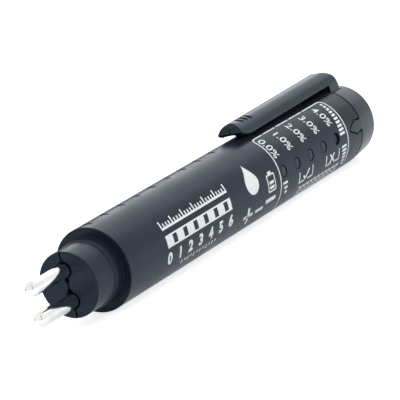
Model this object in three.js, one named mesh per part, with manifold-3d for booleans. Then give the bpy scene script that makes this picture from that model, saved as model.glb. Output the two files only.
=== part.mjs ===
// A brake fluid tester in the shape of a thick pen. Two half shells hold two probe pins, a circuit board
// with a row of five lamps and one AAA cell, and a rear cap carries a pocket clip and a push button.
// Lengths are in millimetres. X runs along the pen from the pins to the button, with its zero at the
// shoulder while the pieces are made. The clip is on top and the lamps face -Y.
import * as THREE from "three";
import { mergeVertices } from "three/addons/utils/BufferGeometryUtils.js";
import Module from "manifold-3d";

const wasm = await Module();
wasm.setup();

// Fits
const fitGap = 0.3; // between pieces that don't move on each other
const runningGap = 0.25; // round pieces that slide
const seatGap = 0.1; // under pieces that are soldered or pressed down
const partingGap = 0.1; // between the two half shells
const overrun = 1; // how far a cut runs past the face that it opens

// Barrel, made of two half shells
const barrelRadius = 11;
const barrelLength = 120.85;
const barrelWall = 1.8;
const barrelSides = 36;
const shoulderWall = 2;
const ribThickness = 1.4;
const ribRoot = 0.5; // how far a rib runs into the wall
const ribWindowRadius = 4;
const boardRibShares = [0.25, 0.68]; // of the way from the shoulder to the cell

// Nose, with the collar that a protective cap slides over
const noseRadius = 8.5;
const noseLength = 11.15;
const noseWall = 1.6;
const noseFrontWall = 3.2;
const noseChamfer = 0.35;
const collarRadius = 8.8;
const collarLength = 3.6;

// Grip grooves across the top of the barrel
const gripGrooves = 9;
const gripFirst = 3.1;
const gripPitch = 7.43;
const gripDepth = 0.45;
const gripCutRadius = 0.65;
const gripLean = 9; // degrees from the clip's line towards the side without lamps

// Probe pins and what holds them
const pinRadius = 1.9;
const pinSpacing = 7.7;
const pinReach = 15.15; // from the nose's front to the tip
const pinFlangeRadius = 2.7;
const pinFlangeLength = 1.5;
const pinShankRadius = 1;
const pinShankEnd = 8;
const pinHoleGap = 0.15;
const pinSides = 20;
const dishRadius = 2.9;
const dishDepth = 0.8;
const sealThickness = 1.6;

// Cell
const cellRadius = 5.25;
const cellLength = 44.5;
const cellNubRadius = 1.9;
const cellNubLength = 1;
const cellToWall = 1.23; // least gap to the bore
const cellLean = 54; // degrees from level at which the cell hangs off the pen's axis
const cellToPlug = 2;
const cellSides = 24;

// Circuit board and what stands on it
const boardThickness = 1;
const boardEdgeGap = 0.5;
const boardStart = 2.6;
const leadWidth = 2;
const leadThickness = 0.4;
const leadLength = 4.8;
const chipLength = 6;
const chipWidth = 5;
const chipShare = 0.466; // places along the way from the shoulder to the cell
const chipHeightShare = 0.35; // heights of the room between board and bore
const capacitorRadius = 2;
const capacitorShare = 0.826;
const capacitorHeightShare = 0.75;
const resistorLength = 3.2;
const resistorWidth = 1.6;
const resistorShare = 0.2825;
const resistorHeightShare = 0.14;
const resistorPitch = 3;
const resistorCount = 3;

// Lamps, 3 mm light-emitting diodes that show in round holes
const lampCount = 5;
const lampPitch = 7.43;
const lampToSeam = 14.28; // from the last lamp to the barrel's end
const lampRadius = 1.5;
const lampStandoff = 0.75; // from the board to the flange
const lampFlangeRadius = 1.9;
const lampFlangeHeight = 1;
const lampHoleGap = 0.2;
const lampLegPitch = 2.54;
const lampLegSize = 0.5;
const lampSides = 16;

// Contacts of the cell
const plateThickness = 0.5;
const plateHalfWidth = 3.5;
const plateReach = 3; // past the cell's axis
const stripThickness = 0.4;
const stripWidth = 2.2;
const stripToPlug = 0.35;
const stripOverlap = 6; // along the board
const springRadius = 3.2;
const springWire = 0.35;
const springTurns = 4;
const springSteps = 8;
const springSides = 5;

// Rear cap
const seamGap = 0.2;
const capLength = 9.95;
const capEndInset = 0.85; // how much smaller its end is than the barrel
const capRimFillet = 2;
const plugLength = 8;
const plugWall = 1.35;
const capEndWall = 5;
const chamberGap = 1; // round the button's flange

// The cap's arrow-shaped tongue, which keys it to the barrel
const tongueHalfWidth = 1.95;
const tongueTipHalfWidth = 0.55;
const tongueStraight = 2.65; // from the seam to where the point starts
const tongueLength = 5.85;

// Push button and switch in the cap
const buttonShare = 0.436; // of the barrel's radius
const buttonRecess = 0.2;
const buttonTravel = 0.6;
const buttonFlange = 1.1;
const buttonFlangeThickness = 1.2;
const buttonDish = 0.4;
const buttonRimShare = 0.8;
const switchSize = 6;
const switchHeight = 3.5;
const stemRadius = 1.7;
const stemLength = 2.6;
const stemProud = 1.6;
const switchBoardThickness = 1;

// Pocket clip
const clipLength = 47.45; // from the barrel's end to the tip
const clipHalfWidth = 4.2;
const clipRise = 5.1; // its top over the barrel, at the root
const clipGapTip = 1.25;
const clipGapRoot = 1.95;
const clipFootLength = 5.55;
const clipFootDepth = 1.6;
const clipPocketFloor = 0.3;
const clipArchRadius = 5.8;
const clipBrowDrop = 1; // from the top down to the brow of the tip's end face
const clipBrowLean = 0.35; // how far the brow lies behind the tip
const clipBrowSlope = 1.65; // length of the slope from the brow up to the top
const clipChinLead = 0.2; // how far the end face's chin lies ahead of the tip
const clipChinStep = 0.1; // the chin over the crown of the hollow
const clipChinAngle = 22; // degrees by which the clip is cut away under the chin
const clipTipCorner = 1; // radius of the end face's upright corners
const clipShoulder = 4.1; // from the top down to where the sides are upright
const clipGrooves = 3;
const clipGrooveFirst = 4.2; // from the tip
const clipGroovePitch = 1.95;
const clipGrooveCutRadius = 0.65;
const clipGrooveDepths = [0.8, 0.95, 1.1];
const crownSteps = 12;
const archSteps = 6;

// Places that follow from the sizes
const boreRadius = barrelRadius - barrelWall;
const lampFirst = barrelLength - lampToSeam - (lampCount - 1) * lampPitch;
const noseFront = -noseLength;
const noseInside = noseFront + noseFrontWall;
const noseBore = noseRadius - noseWall;
const pinTip = noseFront - pinReach;
const capFront = barrelLength + seamGap;
const capEnd = capFront + capLength;
const capEndRadius = barrelRadius - capEndInset;
const plugFront = capFront - plugLength;
const plugRadius = boreRadius - runningGap;
const plugBore = plugRadius - plugWall;
const cellRear = plugFront - cellToPlug;
const cellFront = cellRear - cellLength;
const cellOffset = boreRadius - cellRadius - cellToWall;
const cellAside = cellOffset * Math.cos(THREE.MathUtils.degToRad(cellLean));
const cellDrop = cellOffset * Math.sin(THREE.MathUtils.degToRad(cellLean));
const boardInner = cellAside - cellRadius - fitGap;
const boardOuter = boardInner - boardThickness;
const boardRoom = boreRadius + boardOuter;
const boardHalfWidth = Math.sqrt(boreRadius ** 2 - boardOuter ** 2) - boardEdgeGap;
const boardEnd = cellRear;
const lampHeight = barrelRadius + boardOuter - lampStandoff;
const buttonRadius = barrelRadius * buttonShare;
const chamberRadius = buttonRadius + buttonFlange + chamberGap;
const buttonFace = capEnd - buttonRecess;
const buttonWallInside = capEnd - capEndWall;
const flangeRear = buttonWallInside - runningGap;
const flangeFront = flangeRear - buttonFlangeThickness;
const stemRear = flangeFront - seatGap;
const switchRear = stemRear - stemProud;
const switchFront = switchRear - switchHeight;
const switchBoardRear = switchFront - seatGap;
const switchBoardFront = switchBoardRear - switchBoardThickness;
const clipTip = barrelLength - clipLength;
const clipTop = barrelRadius + clipRise;
const clipFootFront = capFront;
const clipFootRear = clipFootFront + clipFootLength;
const clipPivotX = (clipFootFront + clipFootRear) / 2;
const clipPivotZ = Math.sqrt(barrelRadius ** 2 - (clipHalfWidth / 2) ** 2);
const clipTilt = Math.atan((clipGapRoot - clipGapTip) / (clipPivotX - clipTip));

// Materials
const paint = (color, roughness, metalness) =>
  new THREE.MeshStandardMaterial({ color, roughness, metalness });
const casePlastic = paint(0x3f4350, 0.55, 0);
const buttonRubber = paint(0x2b2d36, 0.8, 0);
const nickel = paint(0xd9dbd6, 0.2, 1);
const brass = paint(0xc9a24a, 0.35, 1);
const springSteel = paint(0xb8babd, 0.3, 1);
const boardResin = paint(0x1f5a3a, 0.5, 0);
const smokedLens = paint(0x4a4d58, 0.25, 0);
const blackResin = paint(0x16171a, 0.5, 0);
const sealRubber = paint(0x1c1c1e, 0.9, 0);
const cellJacket = paint(0x8d9096, 0.4, 0.5);

// A closed geometry as a solid that can be joined and cut
function solid(geometry) {
  const bare = geometry.clone();
  bare.deleteAttribute("normal");
  bare.deleteAttribute("uv");
  const merged = mergeVertices(bare);
  return new wasm.Manifold(
    new wasm.Mesh({
      numProp: 3,
      vertProperties: merged.attributes.position.array,
      triVerts: new Uint32Array(merged.index.array),
    }),
  );
}

// The named mesh of a solid
function piece(name, shape, material) {
  const { vertProperties, triVerts } = shape.getMesh();
  const geometry = new THREE.BufferGeometry();
  geometry.setAttribute("position", new THREE.BufferAttribute(vertProperties, 3));
  geometry.setIndex(new THREE.BufferAttribute(triVerts, 1));
  geometry.computeVertexNormals();
  const mesh = new THREE.Mesh(geometry, material);
  mesh.name = name;
  return mesh;
}

// A solid turned about the X axis from a closed outline of [x, radius] points. Each radius is measured
// to the flats, and a flat faces up, down and to each side.
function turned(outline, sides = barrelSides) {
  const area = outline.reduce((sum, [x, r], i) => {
    const [nextX, nextR] = outline[(i + 1) % outline.length];
    return sum + x * nextR - nextX * r;
  }, 0);
  const ordered = area > 0 ? [...outline].reverse() : outline;
  const toCorner = 1 / Math.cos(Math.PI / sides);
  const points = [...ordered, ordered[0]].map(([x, r]) => new THREE.Vector2(r * toCorner, x));
  const geometry = new THREE.LatheGeometry(points, sides, Math.PI / sides);
  return solid(geometry.rotateZ(-Math.PI / 2));
}

// A block between two corners
function block([x0, y0, z0], [x1, y1, z1]) {
  const box = new THREE.BoxGeometry(x1 - x0, y1 - y0, z1 - z0);
  return solid(box.translate((x0 + x1) / 2, (y0 + y1) / 2, (z0 + z1) / 2));
}

// A round rod along X, through the point (y, z)
function rodAlongX(radius, x0, x1, y, z, sides = cellSides) {
  const rod = new THREE.CylinderGeometry(radius, radius, x1 - x0, sides);
  return solid(rod.rotateZ(-Math.PI / 2).translate((x0 + x1) / 2, y, z));
}

// A round rod along Y, through the point (x, z)
function rodAlongY(radius, y0, y1, x, z, sides = lampSides) {
  const rod = new THREE.CylinderGeometry(radius, radius, y1 - y0, sides);
  return solid(rod.translate(x, (y0 + y1) / 2, z));
}

// An outline of [a, b] points pushed along one axis from one place to another
function pushed(outline, axis, from, to) {
  const shape = new THREE.Shape(outline.map(([a, b]) => new THREE.Vector2(a, b)));
  const geometry = new THREE.ExtrudeGeometry(shape, { depth: to - from, bevelEnabled: false });
  if (axis === "x") {
    geometry.applyMatrix4(new THREE.Matrix4().makeBasis(
      new THREE.Vector3(0, 1, 0),
      new THREE.Vector3(0, 0, 1),
      new THREE.Vector3(1, 0, 0),
    ));
    geometry.translate(from, 0, 0);
  }
  if (axis === "y") {
    geometry.rotateX(Math.PI / 2);
    geometry.translate(0, to, 0);
  }
  if (axis === "z") geometry.translate(0, 0, from);
  return solid(geometry);
}

// Points of an arc about (a, b), with the angles in degrees
function arc(a, b, radius, start, end, steps) {
  return Array.from({ length: steps + 1 }, (_, i) => {
    const angle = THREE.MathUtils.degToRad(start + ((end - start) * i) / steps);
    return [a + radius * Math.cos(angle), b + radius * Math.sin(angle)];
  });
}

const lampPlaces = Array.from({ length: lampCount }, (_, i) => lampFirst + i * lampPitch);
const pinHeights = [pinSpacing / 2, -pinSpacing / 2];

// The tongue's outline in X and Z, wider by a margin where the barrel makes room for it
function tongueOutline(margin, rear) {
  const side = tongueHalfWidth + margin;
  const tip = tongueTipHalfWidth + margin;
  const straightEnd = barrelLength - tongueStraight - margin;
  const tipEnd = barrelLength - tongueLength - margin;
  return [
    [rear, -side],
    [rear, side],
    [straightEnd, side],
    [tipEnd, tip],
    [tipEnd, -tip],
    [straightEnd, -side],
  ];
}

// The nose and barrel as one turned body, before it is split
function barrelBody() {
  const outside = turned([
    [noseFront, 0],
    [noseFront, noseRadius - noseChamfer],
    [noseFront + noseChamfer, noseRadius],
    [-collarLength, noseRadius],
    [-collarLength, collarRadius],
    [0, collarRadius],
    [0, barrelRadius],
    [barrelLength, barrelRadius],
    [barrelLength, 0],
  ]);
  const inside = turned([
    [noseInside, 0],
    [noseInside, noseBore],
    [shoulderWall, noseBore],
    [shoulderWall, boreRadius],
    [barrelLength + overrun, boreRadius],
    [barrelLength + overrun, 0],
  ]);
  return outside.subtract(inside);
}

// One rib across the bore, open for the cell or with a round window, and slotted for the board
function rib(center, holdsCell) {
  const from = center - ribThickness / 2;
  const to = center + ribThickness / 2;
  const disc = turned([
    [from, 0],
    [from, boreRadius + ribRoot],
    [to, boreRadius + ribRoot],
    [to, 0],
  ]);
  const window = holdsCell
    ? rodAlongX(cellRadius + fitGap, from - overrun, to + overrun, cellAside, -cellDrop)
    : rodAlongX(ribWindowRadius, from - overrun, to + overrun, 0, 0);
  const slot = block(
    [from - overrun, boardOuter - fitGap, -boardHalfWidth - fitGap],
    [to + overrun, boardInner + fitGap, boardHalfWidth + fitGap],
  );
  return disc.subtract(window).subtract(slot);
}

// The whole barrel with its ribs, pin holes, lamp holes, grip grooves and the slot for the tongue
function wholeBarrel() {
  let body = barrelBody();
  for (const share of boardRibShares) body = body.add(rib(cellFront * share, false));
  for (const x of [lampPlaces[0], lampPlaces[lampCount - 1]]) {
    body = body.add(rib(x - lampPitch / 2, true));
  }
  for (const height of pinHeights) {
    const hole = rodAlongX(
      pinRadius + pinHoleGap, noseFront - overrun, noseInside + overrun, 0, height, pinSides,
    );
    const dish = rodAlongX(dishRadius, noseFront - overrun, noseFront + dishDepth, 0, height, pinSides);
    body = body.subtract(hole).subtract(dish);
  }
  for (const x of lampPlaces) {
    body = body.subtract(
      rodAlongY(lampRadius + lampHoleGap, -barrelRadius - overrun, boardOuter, x, 0),
    );
  }
  for (let i = 0; i < gripGrooves; i++) {
    const height = barrelRadius - gripDepth + gripCutRadius;
    const x = gripFirst + i * gripPitch;
    body = body.subtract(
      rodAlongY(gripCutRadius, -barrelRadius, barrelRadius, x, height).rotate([-gripLean, 0, 0]),
    );
  }
  const slot = pushed(
    tongueOutline(seamGap, barrelLength + overrun), "y", -barrelRadius - overrun, -boreRadius / 2,
  );
  return body.subtract(slot);
}

// The half shell on one side: -1 is the side of the lamps, 1 the other
function halfShell(side) {
  const near = (side * partingGap) / 2;
  const far = side * (barrelRadius + overrun);
  const half = block(
    [noseFront - overrun, Math.min(near, far), -barrelRadius - overrun],
    [barrelLength + overrun, Math.max(near, far), barrelRadius + overrun],
  );
  return wholeBarrel().intersect(half);
}

// A probe pin with its domed tip, the flange behind the nose's front wall and the shank
function probePin(height) {
  const flangeFrom = noseInside + fitGap;
  const flangeTo = flangeFrom + pinFlangeLength;
  const dome = arc(pinTip + pinRadius, 0, pinRadius, 180, 90, archSteps);
  const outline = [
    ...dome,
    [flangeFrom, pinRadius],
    [flangeFrom, pinFlangeRadius],
    [flangeTo, pinFlangeRadius],
    [flangeTo, pinShankRadius],
    [pinShankEnd, pinShankRadius],
    [pinShankEnd, 0],
  ];
  return turned(outline, pinSides).translate([0, 0, height]);
}

// The rubber seal round both shanks, behind the flanges
function noseSeal() {
  const from = noseInside + fitGap + pinFlangeLength + fitGap;
  const to = from + sealThickness;
  let disc = turned([
    [from, 0],
    [from, noseBore - fitGap],
    [to, noseBore - fitGap],
    [to, 0],
  ]);
  for (const height of pinHeights) {
    disc = disc.subtract(
      rodAlongX(pinShankRadius + fitGap, from - overrun, to + overrun, 0, height, pinSides),
    );
  }
  return disc;
}

// The springy lead that stands on the board and touches a pin's shank
function pinLead(height) {
  const foot = boardInner + seatGap;
  const top = -pinShankRadius - seatGap;
  const rear = boardStart + leadLength;
  const outline = [
    [boardStart, foot],
    [rear, foot],
    [rear, top],
    [rear - leadThickness, top],
    [rear - leadThickness, foot + leadThickness],
    [boardStart, foot + leadThickness],
  ];
  return pushed(outline, "z", height - leadWidth / 2, height + leadWidth / 2);
}

function circuitBoard() {
  return block([boardStart, boardOuter, -boardHalfWidth], [boardEnd, boardInner, boardHalfWidth]);
}

// A rectangular part on the board's outer face
function boardPart(x, length, width, height) {
  const base = boardOuter - seatGap;
  return block([x, base - height, -width / 2], [x + length, base, width / 2]);
}

function capacitor() {
  const base = boardOuter - seatGap;
  const height = boardRoom * capacitorHeightShare;
  return rodAlongY(capacitorRadius, base - height, base, cellFront * capacitorShare, 0);
}

// A lamp: flange, body and dome turned about its own axis, and two legs down to the board
function lamp(x) {
  const base = -barrelRadius + lampHeight;
  const outline = [
    [0, 0],
    [0, lampFlangeRadius],
    [lampFlangeHeight, lampFlangeRadius],
    [lampFlangeHeight, lampRadius],
    ...arc(lampHeight - lampRadius, 0, lampRadius, 90, 0, archSteps),
  ];
  const body = turned(outline, lampSides).rotate([0, 0, -90]).translate([x, base, 0]);
  const legEnd = boardOuter - seatGap;
  const legs = [-1, 1].map((end) => {
    const z = (end * lampLegPitch) / 2;
    return block(
      [x - lampLegSize / 2, base - lampFlangeHeight / 2, z - lampLegSize / 2],
      [x + lampLegSize / 2, legEnd, z + lampLegSize / 2],
    );
  });
  return body.add(legs[0]).add(legs[1]);
}

// The AAA cell with its nub towards the nose
function cell() {
  const can = rodAlongX(cellRadius, cellFront, cellRear, cellAside, -cellDrop);
  const nub = rodAlongX(
    cellNubRadius, cellFront - cellNubLength, cellFront + overrun, cellAside, -cellDrop,
  );
  return can.add(nub);
}

// The plate in front of the cell, which stands on the board
function frontContact() {
  const rear = cellFront - cellNubLength - fitGap;
  return block(
    [rear - plateThickness, boardInner + seatGap, -cellDrop - plateHalfWidth],
    [rear, cellAside + plateReach, -cellDrop + plateHalfWidth],
  );
}

// The strip that leads from the board to the switch board in the cap
function contactStrip() {
  const base = boardInner + seatGap;
  const top = Math.sqrt(plugBore ** 2 - base ** 2) - stripToPlug;
  return block(
    [boardEnd - stripOverlap, base, top - stripWidth],
    [switchBoardFront - fitGap, base + stripThickness, top],
  );
}

// The spring behind the cell, one wire wound from the switch board to the cell
function cellSpring() {
  const from = cellRear + fitGap + springWire;
  const to = switchBoardFront - fitGap - springWire;
  const rings = springTurns * springSteps;
  const positions = [];
  const triangles = [];
  for (let i = 0; i <= rings; i++) {
    const turn = (2 * Math.PI * i) / springSteps;
    const along = from + ((to - from) * i) / rings;
    for (let j = 0; j < springSides; j++) {
      const round = (2 * Math.PI * j) / springSides;
      const radius = springRadius + springWire * Math.cos(round);
      positions.push(
        along + springWire * Math.sin(round),
        cellAside + radius * Math.cos(turn),
        -cellDrop + radius * Math.sin(turn),
      );
    }
  }
  const corner = (i, j) => i * springSides + (j % springSides);
  for (let i = 0; i < rings; i++) {
    for (let j = 0; j < springSides; j++) {
      triangles.push(corner(i, j), corner(i + 1, j + 1), corner(i, j + 1));
      triangles.push(corner(i, j), corner(i + 1, j), corner(i + 1, j + 1));
    }
  }
  for (let j = 1; j < springSides - 1; j++) {
    triangles.push(corner(0, 0), corner(0, j), corner(0, j + 1));
    triangles.push(corner(rings, 0), corner(rings, j + 1), corner(rings, j));
  }
  const geometry = new THREE.BufferGeometry();
  geometry.setAttribute("position", new THREE.Float32BufferAttribute(positions, 3));
  geometry.setIndex(triangles);
  return solid(geometry);
}

// The rear cap: a plug in the barrel, a rounded end, the chambers for switch and button, the tongue
// and the pocket for the clip's foot
function rearCap() {
  const outside = turned([
    [plugFront, 0],
    [plugFront, plugRadius],
    [capFront, plugRadius],
    [capFront, barrelRadius],
    ...arc(capEnd - capRimFillet, capEndRadius - capRimFillet, capRimFillet, 90, 0, archSteps),
    [capEnd, 0],
  ]);
  const inside = turned([
    [plugFront - overrun, 0],
    [plugFront - overrun, plugBore],
    [switchBoardRear + seatGap, plugBore],
    [switchBoardRear + seatGap, chamberRadius],
    [buttonWallInside, chamberRadius],
    [buttonWallInside, buttonRadius + runningGap],
    [capEnd + overrun, buttonRadius + runningGap],
    [capEnd + overrun, 0],
  ]);
  const tongueRing = turned([
    [plugFront, plugRadius - plugWall / 2],
    [plugFront, barrelRadius],
    [capFront + overrun, barrelRadius],
    [capFront + overrun, plugRadius - plugWall / 2],
  ]);
  const tongue = pushed(tongueOutline(0, capFront + overrun), "y", -barrelRadius - overrun, 0);
  const pocket = block(
    [capFront - overrun, -clipHalfWidth - fitGap, clipPivotZ - clipFootDepth - clipPocketFloor],
    [clipFootRear + fitGap, clipHalfWidth + fitGap, barrelRadius + overrun],
  );
  const body = outside.add(tongueRing.intersect(tongue)).subtract(inside);
  const pocketZone = block(
    [capFront, -barrelRadius, 0],
    [capEnd, barrelRadius, barrelRadius + overrun],
  );
  return body.subtract(pocket.intersect(pocketZone));
}

// The clip: its side outline and its crowned section, hollowed along the barrel and tilted to it
function pocketClip() {
  const foot = clipPivotZ - clipFootDepth;
  const archTop = clipTop - clipArchRadius;
  const chinX = clipTip - clipChinLead;
  const chinRise = clipGapRoot + clipChinStep;
  const chinRun = chinRise / Math.tan(THREE.MathUtils.degToRad(clipChinAngle));
  const browX = clipTip + clipBrowLean;
  const side = pushed([
    [chinX + chinRun, barrelRadius],
    [chinX, barrelRadius + chinRise],
    [browX, clipTop - clipBrowDrop],
    [browX + clipBrowSlope, clipTop],
    ...arc(clipFootRear - clipArchRadius, archTop, clipArchRadius, 90, 0, archSteps),
    [clipFootRear, foot],
    [clipFootFront, foot],
    [clipFootFront, barrelRadius],
  ], "y", -clipHalfWidth - overrun, clipHalfWidth + overrun);
  const crown = arc(0, 0, 1, 0, 180, crownSteps).map(([across, up]) => [
    across * clipHalfWidth,
    clipTop - clipShoulder + up * clipShoulder,
  ]);
  const section = pushed([
    [-clipHalfWidth, foot - overrun],
    [clipHalfWidth, foot - overrun],
    ...crown,
  ], "x", chinX - overrun, clipFootRear + overrun);
  const cornerX = chinX - fitGap + clipTipCorner;
  const cornerY = clipHalfWidth - clipTipCorner;
  const plan = pushed([
    [clipFootRear + overrun, clipHalfWidth],
    ...arc(cornerX, cornerY, clipTipCorner, 90, 180, archSteps),
    ...arc(cornerX, -cornerY, clipTipCorner, 180, 270, archSteps),
    [clipFootRear + overrun, -clipHalfWidth],
  ], "z", foot - overrun, clipTop + overrun);
  const hollow = turned([
    [chinX - overrun, 0],
    [chinX - overrun, barrelRadius + clipGapRoot],
    [clipFootFront, barrelRadius + clipGapRoot],
    [clipFootFront, 0],
  ]);
  let shape = side.intersect(section).intersect(plan).subtract(hollow);
  for (let i = 0; i < clipGrooves; i++) {
    const height = clipTop - clipGrooveDepths[i] + clipGrooveCutRadius;
    const x = clipTip + clipGrooveFirst + i * clipGroovePitch;
    shape = shape.subtract(
      rodAlongY(clipGrooveCutRadius, -clipHalfWidth, clipHalfWidth, x, height),
    );
  }
  return shape
    .translate([-clipPivotX, 0, -clipPivotZ])
    .rotate([0, -THREE.MathUtils.radToDeg(clipTilt), 0])
    .translate([clipPivotX, 0, clipPivotZ]);
}

// The button with its dished face and the flange that keeps it in the cap
function pushButton() {
  return turned([
    [flangeFront, 0],
    [flangeFront, buttonRadius + buttonFlange],
    [flangeRear, buttonRadius + buttonFlange],
    [flangeRear, buttonRadius],
    [buttonFace, buttonRadius],
    [buttonFace, buttonRadius * buttonRimShare],
    [buttonFace - buttonDish, 0],
  ]);
}

function switchStem() {
  return rodAlongX(stemRadius, stemRear - stemLength, stemRear, 0, 0, lampSides);
}

// The switch's square body with the well that its stem moves in
function switchBody() {
  const half = switchSize / 2;
  const body = block([switchFront, -half, -half], [switchRear, half, half]);
  const wellFloor = stemRear - stemLength - buttonTravel - seatGap;
  const well = rodAlongX(stemRadius + seatGap, wellFloor, switchRear + overrun, 0, 0, lampSides);
  return body.subtract(well);
}

function switchBoard() {
  return turned([
    [switchBoardFront, 0],
    [switchBoardFront, plugBore - fitGap],
    [switchBoardRear, plugBore - fitGap],
    [switchBoardRear, 0],
  ]);
}

// The pen lies on the ground plane with its box centred over the origin
const pen = new THREE.Group();
pen.position.set(-(pinTip + capEnd) / 2, 0, barrelRadius);

pen.add(piece("shell_lamp_side", halfShell(-1), casePlastic));
pen.add(piece("shell_back_side", halfShell(1), casePlastic));
pen.add(piece("probe_pin_upper", probePin(pinHeights[0]), nickel));
pen.add(piece("probe_pin_lower", probePin(pinHeights[1]), nickel));
pen.add(piece("pin_seal", noseSeal(), sealRubber));
pen.add(piece("pin_lead_upper", pinLead(pinHeights[0]), brass));
pen.add(piece("pin_lead_lower", pinLead(pinHeights[1]), brass));
pen.add(piece("circuit_board", circuitBoard(), boardResin));
const chip = boardPart(cellFront * chipShare, chipLength, chipWidth, boardRoom * chipHeightShare);
pen.add(piece("controller_chip", chip, blackResin));
pen.add(piece("capacitor", capacitor(), cellJacket));
for (let i = 0; i < resistorCount; i++) {
  const x = cellFront * resistorShare + i * resistorPitch;
  const shape = boardPart(x, resistorWidth, resistorLength, boardRoom * resistorHeightShare);
  pen.add(piece(`resistor_${i + 1}`, shape, blackResin));
}
lampPlaces.forEach((x, i) => pen.add(piece(`lamp_${i + 1}`, lamp(x), smokedLens)));
pen.add(piece("battery_cell", cell(), cellJacket));
pen.add(piece("front_contact", frontContact(), springSteel));
pen.add(piece("contact_strip", contactStrip(), brass));
pen.add(piece("rear_cap", rearCap(), casePlastic));
pen.add(piece("cell_spring", cellSpring(), springSteel));
pen.add(piece("switch_board", switchBoard(), boardResin));
pen.add(piece("switch_body", switchBody(), blackResin));
pen.add(piece("switch_stem", switchStem(), blackResin));
pen.add(piece("push_button", pushButton(), buttonRubber));
pen.add(piece("pocket_clip", pocketClip(), casePlastic));

export default pen;
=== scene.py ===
# The looks of the brake fluid tester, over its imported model.
# Sizes are in millimetres, unless they are said to be in metres.
# A place is s along the pen from its shoulder, y across it and z over its axis.
import bpy
import math
from mathutils import Matrix, Vector


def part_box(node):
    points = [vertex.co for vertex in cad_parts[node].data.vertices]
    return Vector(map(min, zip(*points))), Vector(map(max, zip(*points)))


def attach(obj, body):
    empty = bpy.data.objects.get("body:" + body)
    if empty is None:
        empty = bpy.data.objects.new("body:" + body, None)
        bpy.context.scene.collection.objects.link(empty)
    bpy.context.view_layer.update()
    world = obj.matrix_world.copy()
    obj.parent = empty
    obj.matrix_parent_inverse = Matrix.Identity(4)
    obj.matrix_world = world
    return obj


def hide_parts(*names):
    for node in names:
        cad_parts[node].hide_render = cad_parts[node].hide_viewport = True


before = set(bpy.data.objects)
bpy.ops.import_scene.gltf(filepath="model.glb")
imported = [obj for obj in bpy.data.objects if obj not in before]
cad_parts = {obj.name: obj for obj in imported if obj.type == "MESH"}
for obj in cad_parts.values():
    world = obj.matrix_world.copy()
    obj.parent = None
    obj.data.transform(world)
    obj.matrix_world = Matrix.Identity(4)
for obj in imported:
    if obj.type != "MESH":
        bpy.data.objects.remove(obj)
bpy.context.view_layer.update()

MM = 0.001
FINE = 1e-8  # metres, under which two vertices are one
NEAR = 1e-5  # metres, the margin of a test on a vertex's place
ROUND_SIDES = 192
PIN_SIDES = 96
TOOL_SIDES = 48
STICK_OUT = 1.0  # how far a cutting tool stands out of what it cuts
HAIR = 0.001  # keeps two faces out of one plane
CUT_INSIDE = 6.0  # a radius inside the barrel's wall
CUT_OUTSIDE = 12.0  # a radius outside the barrel
PAST = 13.0  # farther from the axis than any wall

# Barrel and nose
INK_TOP = 11.0
INK = 0.02  # thickness of the print that shows
BARREL = INK_TOP - INK
BORE = 9.2
BARREL_END = 120.85
NOSE = 8.5
NOSE_FRONT = -11.15
NOSE_DISC = 4.0  # the disc that the front is turned from
NOSE_WALL = 3.2
NOSE_INSIDE = NOSE_FRONT + NOSE_WALL
NOSE_BORE = 6.9
COLLAR = 8.8
COLLAR_FRONT = -3.6
COLLAR_FOOT = COLLAR_FRONT - 0.12
COLLAR_BROW = COLLAR_FRONT + 0.2
SHOULDER_WALL = 2.0
SEAM = 0.14  # how far each rim stands back from the seam of barrel and cap

# Pins and lamps
PIN = 1.9
PIN_TIP = -26.3
PIN_HEIGHT = 3.85  # over and under the axis
LAMP_FIRST = 76.85
LAMP_PITCH = 7.43
LAMPS = 5

# Rear cap and clip
CAP_FRONT = BARREL_END + 0.2
CAP_END = 131.0
CLIP_TIP = 73.4
CLIP_TOP = 16.099

# The pen's middle is the frame's middle, and the barrel lies on the floor
SHOULDER_X = -(PIN_TIP + CAP_END) / 2
AXIS_HEIGHT = INK_TOP


def at(s, y=0.0, z=0.0):
    """A place on the pen, in metres in the shared frame."""
    return Vector(((SHOULDER_X + s) * MM, y * MM, (AXIS_HEIGHT + z) * MM))


# Modelling


def clear():
    bpy.ops.object.select_all(action="DESELECT")


def choose(piece):
    clear()
    piece.select_set(True)
    bpy.context.view_layer.objects.active = piece


def named(piece, name):
    piece.name = name
    piece.data.name = name
    return piece


def settle(piece):
    """The piece's place goes into its mesh."""
    choose(piece)
    bpy.ops.object.transform_apply(location=True, rotation=True, scale=True)


def edit(piece, kind="FACE"):
    """Opens the piece in edit mode, with all of it selected."""
    choose(piece)
    bpy.ops.object.mode_set(mode="EDIT")
    bpy.ops.mesh.select_mode(type=kind)
    bpy.ops.mesh.select_all(action="SELECT")


def done():
    bpy.ops.object.mode_set(mode="OBJECT")


def pick(piece, wanted, kind="FACE"):
    """Opens the piece in edit mode, with all that the test wants selected."""
    edit(piece, kind)
    bpy.ops.mesh.select_all(action="DESELECT")
    done()
    mesh = piece.data
    if kind == "VERT":
        for v in mesh.vertices:
            v.select = wanted(v.co)
    if kind == "EDGE":
        for e in mesh.edges:
            e.select = wanted(*[mesh.vertices[i].co for i in e.vertices])
    if kind == "FACE":
        for f in mesh.polygons:
            f.select = wanted(f)
    bpy.ops.object.mode_set(mode="EDIT")


def face_out(piece):
    edit(piece)
    bpy.ops.mesh.remove_doubles(threshold=FINE)
    bpy.ops.mesh.normals_make_consistent(inside=False)
    done()


def smooth(piece, degrees=30.0):
    choose(piece)
    bpy.ops.object.shade_smooth_by_angle(angle=math.radians(degrees))


def apply(piece, kind, **settings):
    """One modifier, set and applied."""
    choose(piece)
    modifier = piece.modifiers.new("shape", kind)
    for key, value in settings.items():
        setattr(modifier, key, value)
    bpy.ops.object.modifier_apply(modifier=modifier.name)


def even_shading(piece):
    """Flat faces shade flat, up to their roundings."""
    apply(piece, "WEIGHTED_NORMAL", keep_sharp=True, weight=100)


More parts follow.
